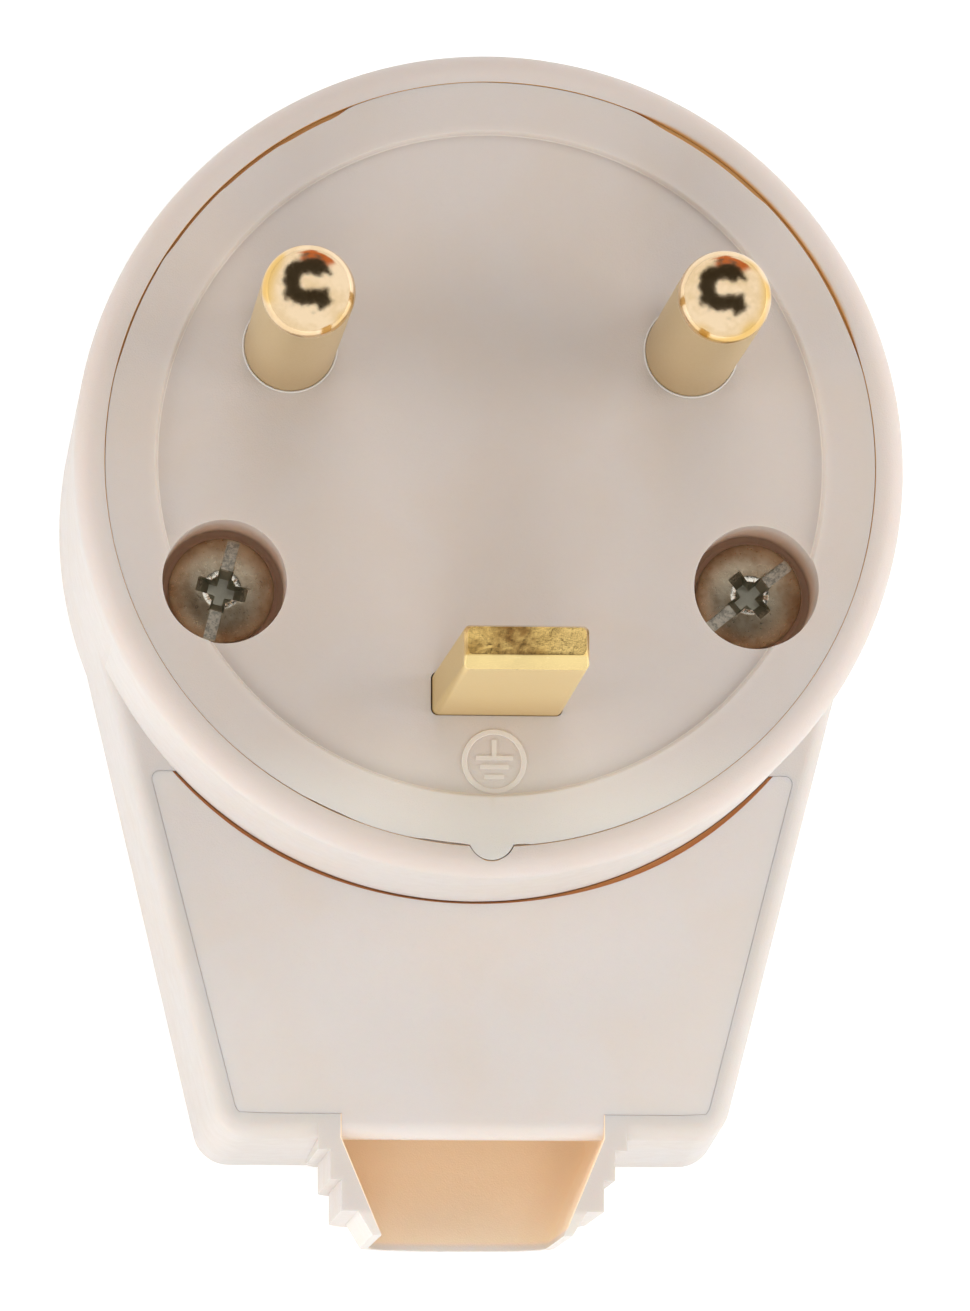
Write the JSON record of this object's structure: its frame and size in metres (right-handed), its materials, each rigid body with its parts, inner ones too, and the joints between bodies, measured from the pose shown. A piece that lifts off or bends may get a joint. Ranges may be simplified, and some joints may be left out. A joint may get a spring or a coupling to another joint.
{
  "type": "angled plug",
  "caption": "Angled mains plug: round pin head on a flat back, two round pins and a flat earth blade, tapering side arm with a snap-in cover and a stepped cord outlet.",
  "frame": {"origin": "centre of the round body's flat back face", "axes": "+Z out of the back towards the pin tips, -Y along the arm towards the cord outlet, +X to the right of someone who looks at the pins with the arm below"},
  "size_m": [0.0548, 0.0772, 0.0582],
  "materials": {
    "housing_plastic": "satin",
    "face_plastic": "satin",
    "inner_plastic": "satin",
    "contact_brass": "polished",
    "screw_steel": "brushed"
  },
  "bodies": {
    "root": {"rear_housing": "housing_plastic", "arm_cover": "housing_plastic", "face_plate": "face_plastic", "pin_retainer": "inner_plastic", "cord_clamp": "inner_plastic", "left_pin": "contact_brass", "right_pin": "contact_brass", "earth_blade": "contact_brass", "left_terminal_screw": "screw_steel", "right_terminal_screw": "screw_steel", "earth_terminal_screw": "screw_steel", "retainer_screw": "screw_steel", "left_housing_screw": "screw_steel", "right_housing_screw": "screw_steel", "left_clamp_screw": "screw_steel", "right_clamp_screw": "screw_steel"}
  },
  "joints": []
}
